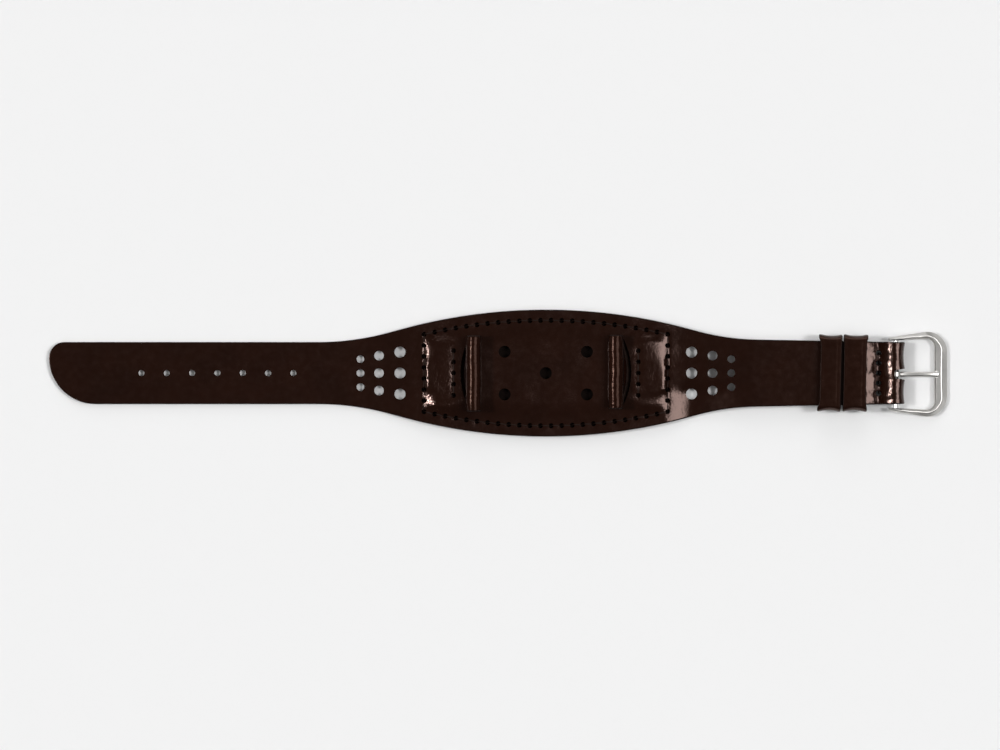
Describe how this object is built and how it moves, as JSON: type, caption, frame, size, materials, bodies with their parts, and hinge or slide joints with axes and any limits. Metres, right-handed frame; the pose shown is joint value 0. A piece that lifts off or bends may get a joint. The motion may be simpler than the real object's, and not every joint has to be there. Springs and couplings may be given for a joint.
{
  "type": "rally watch strap",
  "caption": "Leather watch strap with a wide sewn pad, rolled lug loops, punched holes, a fixed and a sliding keeper, and a pin buckle on a sprung bar.",
  "frame": {"origin": "middle of the pad on its wrist side", "axes": "+X along the strap towards the buckle, +Y across it, +Z away from the wrist"},
  "size_m": [0.2316, 0.0326, 0.008],
  "materials": {
    "strap_leather": "glossy dark brown",
    "lining_leather": "matt black",
    "filler": "raw",
    "keeper_leather": "satin dark brown",
    "thread": "waxed dark brown",
    "satin_steel": "satin",
    "bar_steel": "turned"
  },
  "bodies": {
    "strap": {"strap_leather": "strap_leather", "pad_lining": "lining_leather", "pad_filler": "filler", "pad_thread": "thread", "lug_loop_tail_side": "strap_leather", "lug_loop_buckle_side": "strap_leather", "loop_thread_tail_side": "thread", "loop_thread_buckle_side": "thread", "fixed_keeper": "keeper_leather", "turnback_thread": "thread"},
    "sliding_keeper": {"sliding_keeper": "keeper_leather"},
    "buckle_frame": {"buckle_frame": "satin_steel"},
    "buckle_tang": {"buckle_tang": "satin_steel"},
    "spring_bar": {"spring_bar_tube": "bar_steel", "spring_bar_spring": "bar_steel"},
    "spring_bar_pin_upper": {"spring_bar_pin_upper": "bar_steel"},
    "spring_bar_pin_lower": {"spring_bar_pin_lower": "bar_steel"}
  },
  "joints": [
    {"name": "sliding_keeper_slide", "type": "slide", "parent": "strap", "child": "sliding_keeper", "axis": [1, 0, 0], "range_m": [-0.015, 0.0004]},
    {"name": "buckle_frame_hinge", "type": "hinge", "parent": "strap", "child": "buckle_frame", "pos_m": [0.0902, 0, 0.0024], "axis": [0, 1, 0], "range_deg": [0, 150]},
    {"name": "buckle_tang_hinge", "type": "hinge", "parent": "strap", "child": "buckle_tang", "pos_m": [0.0902, 0, 0.0024], "axis": [0, -1, 0], "range_deg": [0, 60]},
    {"name": "spring_bar_turn", "type": "hinge", "parent": "strap", "child": "spring_bar", "pos_m": [0.0902, 0, 0.0024], "axis": [0, 1, 0], "continuous": true},
    {"name": "spring_bar_pin_upper_slide", "type": "slide", "parent": "spring_bar", "child": "spring_bar_pin_upper", "axis": [0, -1, 0], "range_m": [0, 0.0009], "stiffness_N_per_m": 800, "springref_m": -0.0005, "deforming": ["spring_bar_spring"]},
    {"name": "spring_bar_pin_lower_slide", "type": "slide", "parent": "spring_bar", "child": "spring_bar_pin_lower", "axis": [0, 1, 0], "range_m": [0, 0.0009], "stiffness_N_per_m": 800, "springref_m": -0.0005, "deforming": ["spring_bar_spring"]}
  ]
}
